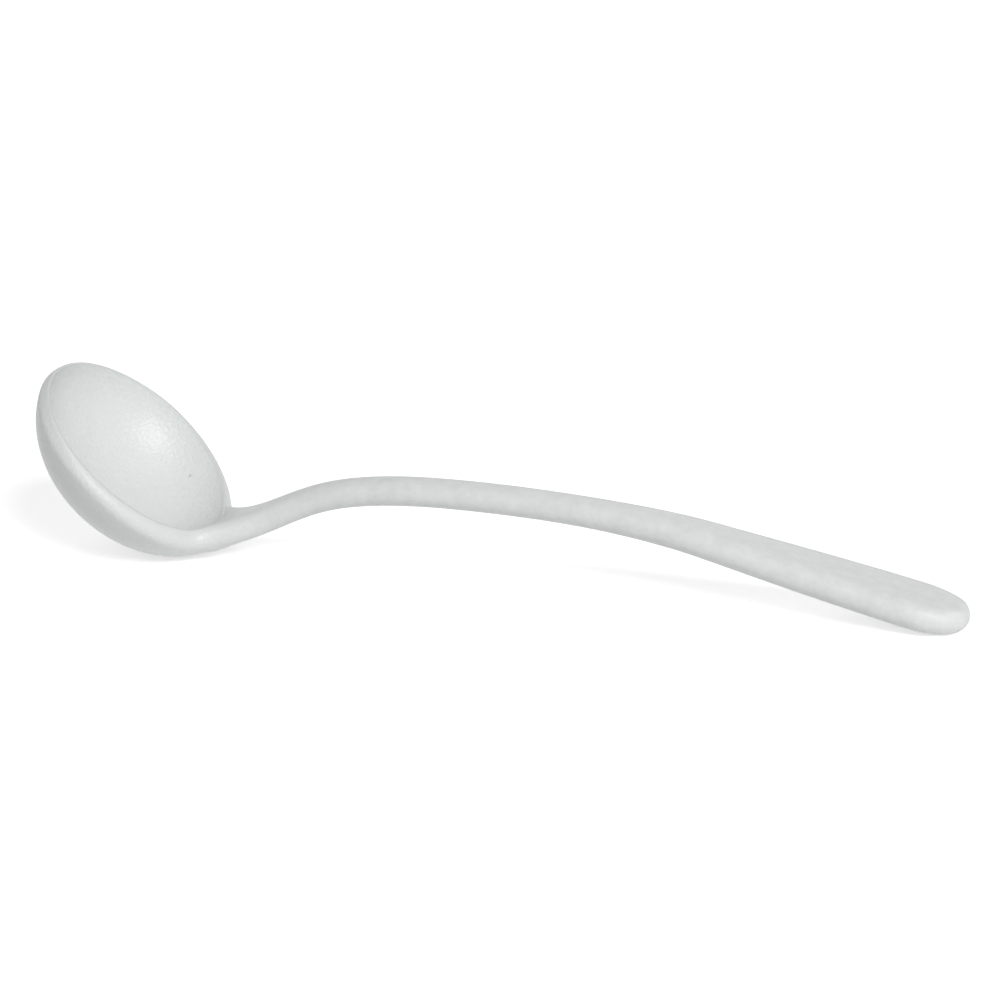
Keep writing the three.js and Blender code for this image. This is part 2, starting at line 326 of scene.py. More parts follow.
@dataclass(frozen=True)
class BowlForm:
    """The bowl: a deep turned dish with a tight inner edge and a lip that is roundest at the handle."""

    diameter: float = 0.0748
    height: float = 0.0248
    floor: float = 0.004
    wall_arc: float = math.radians(76.3)
    tilt: float = math.radians(42.8)
    lip_front: float = 0.003
    lip_root: float = 0.0085
    lip_edge: float = 0.0006
    root_spread: float = 0.0010
    spread_power: float = 7.0
    spread_start: float = 0.7
    rest_depth: float = 0.00025
    sides: int = 280
    steps: int = 120

    @property
    def lip_lean(self) -> float:
        """The wall's lean where it runs into the lip, from the bowl's axis."""
        run = self.diameter / 2 * math.cos(self.wall_arc) * (1 - math.cos(self.wall_arc))
        return math.atan2(run, self.height * math.sin(self.wall_arc) ** 2)

    @property
    def outward(self) -> Vector:
        """Direction across the mouth, towards the handle."""
        return Vector((math.cos(self.tilt), 0.0, -math.sin(self.tilt)))

    @property
    def axis(self) -> Vector:
        """Direction out of the mouth."""
        return Vector((math.sin(self.tilt), 0.0, math.cos(self.tilt)))

    @property
    def root_radius(self) -> float:
        """Radius of the lip's outer round at the handle."""
        return self.lip_root / 2

    @property
    def crest_radius(self) -> float:
        """Radius of the lip's crest at the handle, from the bowl's axis."""
        return self.diameter / 2 - self.root_radius

    def lip_radius(self, turn: Any) -> Any:
        """Returns the radius of the lip's outer round where the turn from the handle has this cosine."""
        return (self.lip_root + self.lip_front + (self.lip_root - self.lip_front) * turn) / 4

    def wall(self, angle: Any) -> tuple[Any, Any]:
        """Returns how wide and how deep the wall is at an angle of its arc, as shares of the whole."""
        deep = (np.cos(angle) - math.cos(self.wall_arc)) / (1 - math.cos(self.wall_arc))
        return np.sin(angle) / math.sin(self.wall_arc), deep

    def mouth_height(self) -> float:
        """Returns how high the middle of the lip's crest stands when the bowl rests on the table."""
        wide, deep = self.wall(np.linspace(0.0, self.wall_arc, self.steps))
        rim = self.diameter / 2 - self.root_radius * (1 - math.cos(self.lip_lean))
        fall = self.root_radius * (1 + math.sin(self.lip_lean))
        depth = fall * wide**2 + self.height * deep
        drop = rim * wide * math.sin(self.tilt) + depth * math.cos(self.tilt)
        return float(drop.max()) - self.rest_depth

    def inner_place(self, turn: float, climb: float) -> Vector:
        """Finds a point of the inner face.

        Args:
            turn: Angle from the handle, round the bowl's axis.
            climb: Share of the way from the middle of the bowl up to the lip.

        Returns:
            The point, seen from the middle of the lip's crest.
        """
        wide, deep = self.wall(climb * self.wall_arc)
        crest = self.diameter / 2 - self.lip_radius(math.cos(turn))
        radius = (crest - self.lip_edge * math.cos(self.lip_lean)) * wide
        fall = self.lip_edge * (1 - math.sin(self.lip_lean)) * wide**2 + (self.height - self.floor) * deep
        across = self.outward * math.cos(turn) + Vector((0.0, math.sin(turn), 0.0))
        return across * radius - self.axis * fall

    def blank(self, mouth: Vector, coat: bpy.types.Material) -> bpy.types.Mesh:
        """Turns the bowl by its rule.

        Args:
            mouth: The middle of the lip's crest.
            coat: The coat's material.

        Returns:
            The bowl as a closed mesh.
        """
        tree = ShapeTree("Bowl blank")
        diameter, height, floor = tree.sizes(self, "diameter", "height", "floor")
        arc, tilt = tree.sizes(self, "wall_arc", "tilt")
        front, back, edge, lean = tree.sizes(self, "lip_front", "lip_root", "lip_edge", "lip_lean")
        root_spread, spread_start = tree.sizes(self, "root_spread", "spread_start")
        mouth_x = tree.size("Mouth X", mouth.x)
        mouth_z = tree.size("Mouth Z", mouth.z)
        net, round_share, wall_share = tree.grid(*tree.sizes(self, "sides", "steps"))
        turn = round_share * math.tau
        # The way over the wall has three equal stages: outer face, lip and inner face.
        stage = wall_share * 3.0
        roll = (stage - 1.0).clamped() * math.pi - lean
        climb = tree.math("MINIMUM", stage, 3.0 - stage).clamped()
        lip = (back + front + (back - front) * turn.cosine()) / 4.0
        bend = lip + (edge - lip) * (roll > math.pi / 2)
        rim_radius = diameter / 2.0 - lip + bend * roll.cosine()
        rim_height = bend * roll.sine() - bend
        angle = climb * arc
        wide = angle.sine() / arc.sine()
        deep = (angle.cosine() - arc.cosine()) / (1.0 - arc.cosine())
        # Towards the handle the lip's outer round reaches further out.
        outer = 1.0 - (roll > math.pi / 2)
        near_root = (turn.cosine() * 0.5 + 0.5) ** self.spread_power
        spread = root_spread * near_root * climb.eased(spread_start, 1.0)
        radius = rim_radius * wide + spread * outer * roll.cosine()
        rise = rim_height * wide * wide - (height - floor * (stage > 1.5)) * deep
        along = radius * turn.cosine()
        place = tree.vector(
            mouth_x + along * tilt.cosine() + rise * tilt.sine(),
            radius * turn.sine(),
            mouth_z - along * tilt.sine() + rise * tilt.cosine(),
        )
        carrier = placed("bowl_carrier", bpy.data.meshes.new("bowl_carrier"))
        mesh = tree.bake(carrier, tree.closed(net, place), coat)
        discard(carrier)
        return mesh


@dataclass(frozen=True)
class HandleForm:
    """The handle: a slab with round edges that flares out of the lip, bends over and widens to a grip."""

    root_rise: float = math.radians(13.7)
    root_pull: float = 0.0352
    root_width: float = 0.034
    root_length: float = 0.038
    root_sink: float = 0.0012
    flare_power: float = 2.1
    hug_power: float = 4.0
    stem_width: float = 0.011
    thickness: float = 0.0085
    crest_reach: float = 0.1059
    crest_height: float = 0.0268
    crest_pull_back: float = 0.0563
    crest_pull_front: float = 0.0294
    shoulder_reach: float = 0.1839
    shoulder_pull: float = 0.0206
    grip_slope: float = math.radians(12.2)
    grip_length: float = 0.0815
    grip_width: float = 0.026
    grip_flare_start: float = 0.130
    grip_flare_end: float = 0.250
    end_length: float = 0.0165
    toe_share: float = 0.3
    toe_length: float = 0.014
    rest_depth: float = 0.0004
    stations: int = 420
    edge_steps: int = 18
    curve_steps: int = 160

    @property
    def grip_direction(self) -> Vector:
        """Direction of the straight grip, down to its end."""
        return Vector((math.cos(self.grip_slope), 0.0, -math.sin(self.grip_slope)))

    def reach(self) -> float:
        """Returns the level distance from the middle of the mouth to the very end of the grip."""
        return self.shoulder_reach + self.grip_length * math.cos(self.grip_slope)

    def path(self, mouth: Vector, root: Vector) -> bpy.types.Object:
        """Draws the centre line.

        Args:
            mouth: The middle of the lip's crest.
            root: The middle of the lip's half round, where the handle starts.

        Returns:
            A curve from the root to the very end of the grip.
        """
        level = Vector((1.0, 0.0, 0.0))
        leave = Vector((math.cos(self.root_rise), 0.0, math.sin(self.root_rise)))
        down = self.grip_direction
        end_height = self.thickness / 2 * (1 - math.sin(self.grip_slope)) - self.rest_depth
        end = Vector((mouth.x + self.reach(), 0.0, end_height))
        crest = Vector((mouth.x + self.crest_reach, 0.0, self.crest_height))
        shoulder = end - down * self.grip_length
        third = self.grip_length / 3
        knots = (
            (root, leave, self.root_pull, self.root_pull),
            (crest, level, self.crest_pull_back, self.crest_pull_front),
            (shoulder, down, self.shoulder_pull, third),
            (end, down, third, third),
        )
        data = bpy.data.curves.new("centre_line", "CURVE")
        data.dimensions = "3D"
        spline = data.splines.new("BEZIER")
        spline.bezier_points.add(len(knots) - 1)
        spline.resolution_u = self.curve_steps
        for knot, (point, direction, pull_back, pull_front) in zip(spline.bezier_points, knots):
            knot.handle_left_type = knot.handle_right_type = "FREE"
            knot.co = point
            knot.handle_left = point - direction * pull_back
            knot.handle_right = point + direction * pull_front
        return placed("centre_line", data)

    def blank(self, mouth: Vector, root: Vector, bowl: BowlForm, coat: bpy.types.Material) -> bpy.types.Mesh:
        """Sweeps the handle along its centre line.

        Args:
            mouth: The middle of the lip's crest.
            root: The middle of the lip's half round, where the handle starts.
            bowl: The bowl that the handle grows out of.
            coat: The coat's material.

        Returns:
            The handle as a closed mesh.
        """
        tree = ShapeTree("Handle blank")
        root_width, root_length = tree.sizes(self, "root_width", "root_length")
        stem_width, thickness = tree.sizes(self, "stem_width", "thickness")
        grip_width, end_length = tree.sizes(self, "grip_width", "end_length")
        grip_start, grip_end = tree.sizes(self, "grip_flare_start", "grip_flare_end")
        toe_share, toe_length, stations = tree.sizes(self, "toe_share", "toe_length", "stations")
        root_thickness = tree.size("Root Thickness", bowl.lip_root - 2 * self.root_sink)
        tilt = tree.size("Bowl Tilt", bowl.tilt)
        mouth_x = tree.size("Mouth X", mouth.x)
        mouth_z = tree.size("Mouth Z", mouth.z)
        net, way, girth = tree.grid(stations, tree.size("Girth Steps", 4 * self.edge_steps))
        curve = tree.entry.outputs["Geometry"]
        # Stations crowd towards the end, where the outline is roundest.
        share = way * (2.0 - way)
        sample = tree.node("GeometryNodeSampleCurve", {"Curves": curve, "Factor": share}, mode="FACTOR")
        point_x, _, point_z = tree.axes(sample.outputs["Position"])
        tangent_x, _, tangent_z = tree.axes(sample.outputs["Tangent"])
        length = Amount(tree, tree.node("GeometryNodeCurveLength", {0: curve}).outputs[0])
        reach = point_x - mouth_x
        root_left = 1.0 - ((reach - (root.x - mouth.x)) / root_length).clamped()
        flare = root_left**self.flare_power
        hug = root_left**self.hug_power
        grip = reach.eased(grip_start, grip_end)
        full_width = stem_width + (root_width - stem_width) * flare + (grip_width - stem_width) * grip
        full_height = thickness + (root_thickness - thickness) * hug
        # The grip's end is half an ellipse in plan with a full-round edge. The root is full-round too.
        left = (1.0 - share) * length
        plan = (1.0 - ((end_length - left) / end_length).clamped() ** 2.0).root()
        edge = (1.0 - (1.0 - left * 2.0 / thickness).clamped() ** 2.0).root()
        start = (1.0 - (1.0 - share * length * 2.0 / root_thickness).clamped() ** 2.0).root()
        half_height = full_height * edge * start / 2.0
        straight = (full_width * plan - full_height * edge) / 2.0
        half_width = tree.math("MAXIMUM", straight * start.root(), 0.0) + half_height
        # Half of the girth is one round edge and one flat face; the other half is the same, turned over.
        halves = (1.0 - girth) * 2.0
        half = tree.math("MODULO", tree.math("FLOOR", halves), 2.0)
        phase = tree.math("FRACT", halves) * 2.0
        angle = (phase.clamped() - 0.5) * math.pi
        slide = 1.0 - (phase - 1.0).clamped() * 2.0
        side = 1.0 - half * 2.0
        across = side * ((half_width - half_height) * slide + half_height * angle.cosine())
        # Towards its end the grip's underside rises a little.
        toe = toe_share * (1.0 - left / toe_length).clamped() ** 2.0
        level = side * half_height * angle.sine()
        height = level * (1.0 - toe * (0.0 - level > 0.0))
        # In the flare the slab bends round the bowl's axis with the lip.
        face_x = point_x - tangent_z * height
        face_z = point_z + tangent_x * height
        radius = (face_x - mouth_x) * tilt.cosine() - (face_z - mouth_z) * tilt.sine()
        back = hug * (radius - (radius * radius - across * across).root())
        place = tree.vector(face_x - tilt.cosine() * back, across, face_z + tilt.sine() * back)
        carrier = self.path(mouth, root)
        mesh = tree.bake(carrier, tree.closed(net, place), coat)
        discard(carrier)
        return mesh


@dataclass(frozen=True)
class Gaps:
    """Distances of points from a form, negative inside it, and the directions away from the form."""

    gap: np.ndarray
    away: np.ndarray

    def turned(self) -> Gaps:
        """Returns the gaps from what lies outside the form."""
        return Gaps(-self.gap, -self.away)

    def joined(self, other: Gaps, fill: np.ndarray | float) -> Gaps:
        """Joins two forms.

        Args:
            other: Gaps from the second form.
            fill: How far the corner between the two is filled.

        Returns:
            Gaps from both forms as one.
        """
        share = np.clip(0.5 + 0.5 * (other.gap - self.gap) / fill, 0.0, 1.0)
        gap = other.gap * (1 - share) + self.gap * share - fill * share * (1 - share)
        away = other.away * (1 - share)[:, None] + self.away * share[:, None]
        return Gaps(gap, away / np.maximum(np.linalg.norm(away, axis=1), TINY)[:, None])

    def trimmed(self, other: Gaps, edge: float) -> Gaps:
        """Returns the gaps from what two forms share, with the edge between them rounded so far."""
        return self.turned().joined(other.turned(), edge).turned()


class DistanceField:
    """A closed mesh that distances are measured from."""

    TOUCHING = 1e-7

    def __init__(self, mesh: bpy.types.Mesh) -> None:
        """Sorts the mesh's faces for quick searches."""
        corners = [vertex.co for vertex in mesh.vertices]
        faces = [tuple(face.vertices) for face in mesh.polygons]
        self.faces = BVHTree.FromPolygons(corners, faces)

    def measure(self, points: np.ndarray) -> Gaps:
        """Measures points.

        Args:
            points: One point a row.

        Returns:
            Their gaps from the mesh.
        """
        distances = np.empty(len(points))
        directions = np.empty((len(points), 3))
        for row, point in enumerate(points):
            nearest, normal, _, gap = self.faces.find_nearest(point)
            offset = Vector(point) - nearest
            side = 1.0 if offset.dot(normal) >= 0 else -1.0
            distances[row] = side * gap
            directions[row] = offset * (side / gap) if gap > self.TOUCHING else normal
        return Gaps(distances, directions)


@dataclass(frozen=True)
class Blanks:
    """The bowl and the handle that the skin lies on."""

    bowl: DistanceField
    handle: DistanceField


@dataclass(frozen=True)
class CoatWaves:
    """The unevenness that a thick coat keeps: long soft waves and a shorter ripple."""

    wave_height: float = 0.00010
    wave_size: float = 0.022
    ripple_height: float = 0.00003
    ripple_size: float = 0.0055
    rest_fade: float = 0.0012
    seed: float = 4.0

    def lay_on(self, skin: bpy.types.Object, coat: bpy.types.Material) -> bpy.types.Mesh:
        """Moves a skin's points in and out along its normals.

        Args:
            skin: The smooth skin.
            coat: The coat's material.

        Returns:
            The uneven skin as a plain mesh.
        """
        tree = ShapeTree("Coat waves")
        seed, rest_fade = tree.sizes(self, "seed", "rest_fade")
        position = tree.node("GeometryNodeInputPosition").outputs[0]
        normal = tree.node("GeometryNodeInputNormal").outputs[0]
        lift: Amount | float = 0.0
        for name in ("wave", "ripple"):
            height, length = tree.sizes(self, f"{name}_height", f"{name}_size")
            noise = tree.node(
                "ShaderNodeTexNoise",
                {"Vector": position, "W": seed, "Scale": 1.0 / length, "Detail": 1.0},
                noise_dimensions="4D",
            )
            lift = (Amount(tree, noise.outputs[0]) - 0.5) * height + lift
        # The rests under the bowl and the grip stay flat.
        _, _, table_height = tree.axes(position)
        lift = lift * table_height.eased(0.0, rest_fade)
        offset = tree.node("ShaderNodeVectorMath", {0: normal, "Scale": lift}, operation="SCALE")
        moved = tree.node(
            "GeometryNodeSetPosition",
            {"Geometry": tree.entry.outputs["Geometry"], "Offset": offset.outputs[0]},
        )
        return tree.bake(skin, moved.outputs[0], coat)


class Net:
    """The edges of a mesh, which pull its points towards their neighbours."""

    def __init__(self, mesh: bpy.types.Mesh) -> None:
        """Reads the mesh's edges."""
        edges = np.empty(len(mesh.edges) * 2, dtype=np.int64)
        mesh.edges.foreach_get("vertices", edges)
        self.first, self.second = edges.reshape(-1, 2).T
        self.neighbours = np.bincount(edges, minlength=len(mesh.vertices))[:, None]

    def pull(self, points: np.ndarray) -> np.ndarray:
        """Finds the way from each point to the middle of its neighbours.

        Args:
            points: One point a row.

        Returns:
            The ways, one a row.
        """
        total = np.zeros_like(points)
        np.add.at(total, self.first, points[self.second])
        np.add.at(total, self.second, points[self.first])
        return total / self.neighbours - points


@dataclass(frozen=True)
class WhiteSkin:
    """The white coat: one unbroken skin over bowl and handle."""

    bowl: BowlForm
    handle: HandleForm
    waves: CoatWaves
    facet: float = 0.0006
    quick_facet: float = 0.0012
    fill_under: float = 0.015
    fill_side: float = 0.011
    fill_top: float = 0.003
    least_fill: float = 0.0008
    least_corner: float = 0.25
    root_trim: float = 0.0004
    root_edge: float = 0.0016
    bevel_start: float = 0.0001
    bevel_lean: float = math.radians(20.0)
    bevel_edge: float = 0.0008
    bevel_clear: float = 0.004
    bevel_from: float = -0.2
    bevel_full: float = 0.8
    settle_rounds: int = 5
    relax_rounds: int = 4
    relax_share: float = 0.6
    root_rounds: int = 40
    ease_in: float = 0.6
    ease_out: float = 0.52
    ease_start: float = 0.0008
    ease_rise: float = 0.0025
    ease_reach: float = 0.034
    ease_fade: float = 0.014
    least_coat: float = 0.0004

    def mouth(self) -> Vector:
        """Returns the middle of the lip's crest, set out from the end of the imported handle."""
        _, far_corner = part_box(CadNode.HANDLE_COAT.value)
        return Vector((far_corner.x - self.handle.reach(), 0.0, self.bowl.mouth_height()))

    def root(self) -> Vector:
        """Returns the middle of the lip's half round at the handle."""
        radius = self.bowl.root_radius
        across = self.bowl.outward * (self.bowl.diameter / 2 - radius)
        return self.mouth() + across - self.bowl.axis * radius

    def build(
        self, core: bpy.types.Object, coat: bpy.types.Material, metal: bpy.types.Material,
    ) -> list[bpy.types.Object]:
        """Makes the skin and the casting under it.

        Args:
            core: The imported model's casting.
            coat: The coat's material.
            metal: The casting's material.

        Returns:
            The finished pieces, riding on the ladle's body.
        """
        bowl = self.bowl.blank(self.mouth(), coat)
        handle = self.handle.blank(self.mouth(), self.root(), self.bowl, coat)
        blanks = Blanks(DistanceField(bowl), DistanceField(handle))
        skin = placed("white_skin", self.wrapped(bowl, handle))
        self.settle(skin.data, blanks)
        skin.data = self.waves.lay_on(skin, coat)
        skin.data.name = "white_skin"
        for face in skin.data.polygons:
            face.use_smooth = True
        casting = placed("casting", self.tucked(core, blanks))
        casting.data.materials.clear()
        casting.data.materials.append(metal)
        for piece in (skin, casting):
            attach(piece, BODY)
        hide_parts(CadNode.BOWL_COAT.value, CadNode.HANDLE_COAT.value)
        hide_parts(CadNode.CAST_CORE.value)
        return [skin, casting]

    def tucked(self, core: bpy.types.Object, blanks: Blanks) -> bpy.types.Mesh:
        """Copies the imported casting, drawn in where the coat would be too thin over it.

        Args:
            core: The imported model's casting.
            blanks: What the skin lies on.

        Returns:
            The casting's mesh, in its place.
        """
        mesh = core.data.copy()
        mesh.transform(core.matrix_world)
        points = corner_points(mesh)
        gaps = self.filled(points, blanks)
        move_corners(mesh, points - np.maximum(gaps.gap + self.least_coat, 0.0)[:, None] * gaps.away)
        return mesh

    def net_size(self) -> float:
        """Returns the size of the skin's facets in this run."""
        return self.facet

    def wrapped(self, *blanks: bpy.types.Mesh) -> bpy.types.Mesh:
        """Wraps the blanks in one net of small even quads.

        Args:
            blanks: The closed forms to wrap.

        Returns:
            A rough skin over all of them.
        """
        both = bmesh.new()
        for blank in blanks:
            both.from_mesh(blank)
        joined = bpy.data.meshes.new("joined_blanks")
        both.to_mesh(joined)
        both.free()
        carrier = placed("joined_blanks", joined)
        remesh = carrier.modifiers.new("wrap", "REMESH")
        remesh.mode = "VOXEL"
        remesh.voxel_size = self.net_size()
        mesh = baked(carrier)
        discard(carrier)
        return mesh

    def settle(self, mesh: bpy.types.Mesh, blanks: Blanks) -> None:
        """Draws a rough skin onto the true surface and evens out its net.

        Args:
            mesh: The rough skin.
            blanks: What the skin lies on.
        """
        points = corner_points(mesh)
        net = Net(mesh)
        for _ in range(self.settle_rounds):
            points = self.drawn(points, blanks)
        for _ in range(self.relax_rounds):
            pull = net.pull(points) * self.relax_share
            away = self.filled(points, blanks).away
            points = points + pull - (pull * away).sum(1)[:, None] * away
            points = self.drawn(points, blanks)
        # Each round reaches as far as the facets are long, so larger facets need fewer.
        ease = self.root_ease(points)[:, None]
        for _ in range(round(self.root_rounds * (self.facet / self.net_size()) ** 2)):
            points = points + net.pull(points) * ease * self.ease_in
            points = points - net.pull(points) * ease * self.ease_out
        points[:, 2] = np.maximum(points[:, 2], 0.0)
        move_corners(mesh, points)

    def round_axis(self, points: np.ndarray) -> tuple[np.ndarray, np.ndarray, np.ndarray]:
        """Finds where points lie round the bowl's axis.

        Args:
            points: One point a row.

        Returns:
            Each point's direction from the axis, distance from it and height over the lip's crest.
        """
        offset = points - np.array(self.mouth())
        axis = np.array(self.bowl.axis)
        rise = offset @ axis
        spoke = offset - rise[:, None] * axis
        radius = np.maximum(np.linalg.norm(spoke, axis=1), TINY)
        return spoke / radius[:, None], radius, rise

    def root_ease(self, points: np.ndarray) -> np.ndarray:
        """Finds where the coat runs soft round the root of the handle.

        Args:
            points: One point a row.

        Returns:
            One for points outside the lip near the root, falling to zero at the lip's crest and far off.
        """
        _, radius, _ = self.round_axis(points)
        beyond = (radius - self.bowl.crest_radius - self.ease_start) / self.ease_rise
        distance = np.linalg.norm(points - np.array(self.root()), axis=1)
        near = (self.ease_reach - distance) / self.ease_fade
        return np.clip(beyond, 0.0, 1.0) * np.clip(near, 0.0, 1.0)

    def drawn(self, points: np.ndarray, blanks: Blanks) -> np.ndarray:
        """Returns points drawn straight towards the true surface."""
        gaps = self.filled(points, blanks)
        return points - gaps.gap[:, None] * gaps.away

    def bevel(self, spoke: np.ndarray, radius: np.ndarray, rise: np.ndarray) -> Gaps:
        """Measures points from the cone that the lip slopes along on the side away from the handle.

        Args:
            spoke: Each point's direction from the bowl's axis.
            radius: Its distance from the axis.
            rise: Its height over the lip's crest.

        Returns:
            Their gaps from the cone, which stands clear of the lip near the handle.
        """
        turn = spoke @ np.array(self.bowl.outward)
        front = np.clip((-turn - self.bevel_from) / (self.bevel_full - self.bevel_from), 0.0, 1.0)
        crest = self.bowl.diameter / 2 - self.bowl.lip_radius(turn)
        across = (radius - crest - self.bevel_start) * math.cos(self.bevel_lean)
        gap = across + rise * math.sin(self.bevel_lean) - self.bevel_clear * (1 - front) ** 2
        away = spoke * math.cos(self.bevel_lean) + np.array(self.bowl.axis) * math.sin(self.bevel_lean)
        return Gaps(gap, away)

    def filled(self, points: np.ndarray, blanks: Blanks) -> Gaps:
        """Measures points from bowl and handle as one form.

        Args:
            points: One point a row.
            blanks: The bowl and the handle.

        Returns:
            Their gaps from the handle, trimmed where it would stand into the bowl, and the bowl, with the
            corner between the two filled on the outside.
        """
        spoke, radius, rise = self.round_axis(points)
        inner_face = self.bowl.crest_radius - self.bowl.lip_edge + self.root_trim
        hollow = Gaps(inner_face - radius, -spoke)
        dish = blanks.bowl.measure(points).trimmed(self.bevel(spoke, radius, rise), self.bevel_edge)
        stem = blanks.handle.measure(points).trimmed(hollow, self.root_edge)
        outside = np.clip((radius - self.bowl.crest_radius) / self.bowl.root_radius, 0.0, 1.0)
        corner = np.clip(1 - (dish.away * stem.away).sum(1), self.least_corner, 1.0)
        fills = (self.fill_under, self.fill_side, self.fill_top)
        fill = np.interp(stem.away[:, 2], (-1.0, 0.0, 1.0), fills) * corner * outside
        return dish.joined(stem, np.maximum(fill, self.least_fill))


class GrainGroup:
    """A shared effect: the fine grain, the soft mottling and the pinholes of a cast or coated surface."""

    NAME = "Cast surface"
    PEEL_NOISE = {"Detail": 2.0, "Roughness": 0.6}
    MOTTLE_NOISE = {"Detail": 3.0, "Roughness": 0.65}
    PIMPLE_SHARE = 0.35
    PIMPLE_COUNT = 0.8
    PIMPLE_SMOOTHNESS = 0.6
    PIT_SHARE = 0.02
    PIT_CELL = 10.0
    PIT_CORE = 0.04
    PIT_RIM = 0.10

    @classmethod
    def tree(cls) -> bpy.types.NodeTree:
        """Returns the group, built once."""
        if cls.NAME in bpy.data.node_groups:
            return bpy.data.node_groups[cls.NAME]
        group = bpy.data.node_groups.new(cls.NAME, "ShaderNodeTree")
        face = group.interface
        face.new_socket("Vector", in_out="INPUT", socket_type="NodeSocketVector")
        for name in ("Grain Size", "Mottle Size", "Pit Size"):
            face.new_socket(name, in_out="INPUT", socket_type="NodeSocketFloat")
        for name in ("Grain", "Mottle", "Pits"):
            face.new_socket(name, in_out="OUTPUT", socket_type="NodeSocketFloat")
        bench = NodeBench(group)
        entry = bench.node("NodeGroupInput")
        place = entry.outputs["Vector"]
        grain_size = Amount(bench, entry.outputs["Grain Size"])
        mottle_size = Amount(bench, entry.outputs["Mottle Size"])
        pit_size = Amount(bench, entry.outputs["Pit Size"])
        peel, mottle = (
            bench.node("ShaderNodeTexNoise", {"Vector": place, "Scale": 1.0 / size, **settings}).outputs[0]
            for size, settings in ((grain_size, cls.PEEL_NOISE), (mottle_size, cls.MOTTLE_NOISE))
        )
        pimples = bench.node(
            "ShaderNodeTexVoronoi",
            {"Vector": place, "Scale": cls.PIMPLE_COUNT / grain_size, "Smoothness": cls.PIMPLE_SMOOTHNESS},
            feature="SMOOTH_F1",
        )
        # One cell in many holds a pinhole at its middle.
        cell_count = 1.0 / cls.PIT_CELL / pit_size
        cells = bench.node("ShaderNodeTexVoronoi", {"Vector": place, "Scale": cell_count})
        pick, _, _ = bench.axes(cells.outputs["Color"])
        hole = 1.0 - Amount(bench, cells.outputs["Distance"]).eased(cls.PIT_CORE, cls.PIT_RIM)
        bumps = (1.0 - Amount(bench, pimples.outputs["Distance"])) * cls.PIMPLE_SHARE
        grain = Amount(bench, peel) * (1.0 - cls.PIMPLE_SHARE) + bumps
        leave = bench.node("NodeGroupOutput")
        bench.feed(leave.inputs["Grain"], grain)
        bench.feed(leave.inputs["Mottle"], mottle)
        bench.feed(leave.inputs["Pits"], hole * (pick > 1.0 - cls.PIT_SHARE))
        return group

    @classmethod
    def place(cls, bench: NodeBench, vector: Any, finish: Finish) -> tuple[Amount, ...]:
        """Puts the group into a material.

        Args:
            bench: The material's tree.
            vector: Where the pattern is read.
            finish: The finish that gives the sizes of grain, mottling and pinholes.

        Returns:
            Grain, mottle and pits, each from zero to one.
        """
        node = bench.node("ShaderNodeGroup", node_tree=cls.tree())
        bench.feed(node.inputs["Vector"], vector)
        bench.feed(node.inputs["Grain Size"], finish.grain_size)
        bench.feed(node.inputs["Mottle Size"], finish.mottle_size)
        bench.feed(node.inputs["Pit Size"], finish.pit_size)
        return tuple(Amount(bench, node.outputs[name]) for name in ("Grain", "Mottle", "Pits"))


Colour = tuple[float, float, float]
Tone = Colour | bpy.types.NodeSocket


def shader_bench(name: str) -> tuple[bpy.types.Material, NodeBench, bpy.types.Node]:
    """Starts a material.

    Args:
        name: The material's name.

    Returns:
        The material, its tree and its Principled BSDF.
    """
    material = bpy.data.materials.new(name)
    material.use_nodes = True
    bench = NodeBench(material.node_tree)
    return material, bench, material.node_tree.nodes["Principled BSDF"]


def tinted(bench: NodeBench, share: Term, low: Tone, high: Tone) -> bpy.types.NodeSocket:
    """Mixes two colours.

    Args:
        bench: The tree to work in.
        share: How much of the second colour there is.
        low: The first colour.
        high: The second colour.

    Returns:
        The mixed colour.
    """
    # The colour sockets of a mix share their names with others, so they are found by their places.
    low_socket, high_socket, mixed_socket = 6, 7, 2
    node = bench.node("ShaderNodeMix", {0: share}, data_type="RGBA")
    for socket, tone in ((low_socket, low), (high_socket, high)):
        bench.feed(node.inputs[socket], (*tone, 1.0) if isinstance(tone, tuple) else tone)
    return node.outputs[mixed_socket]


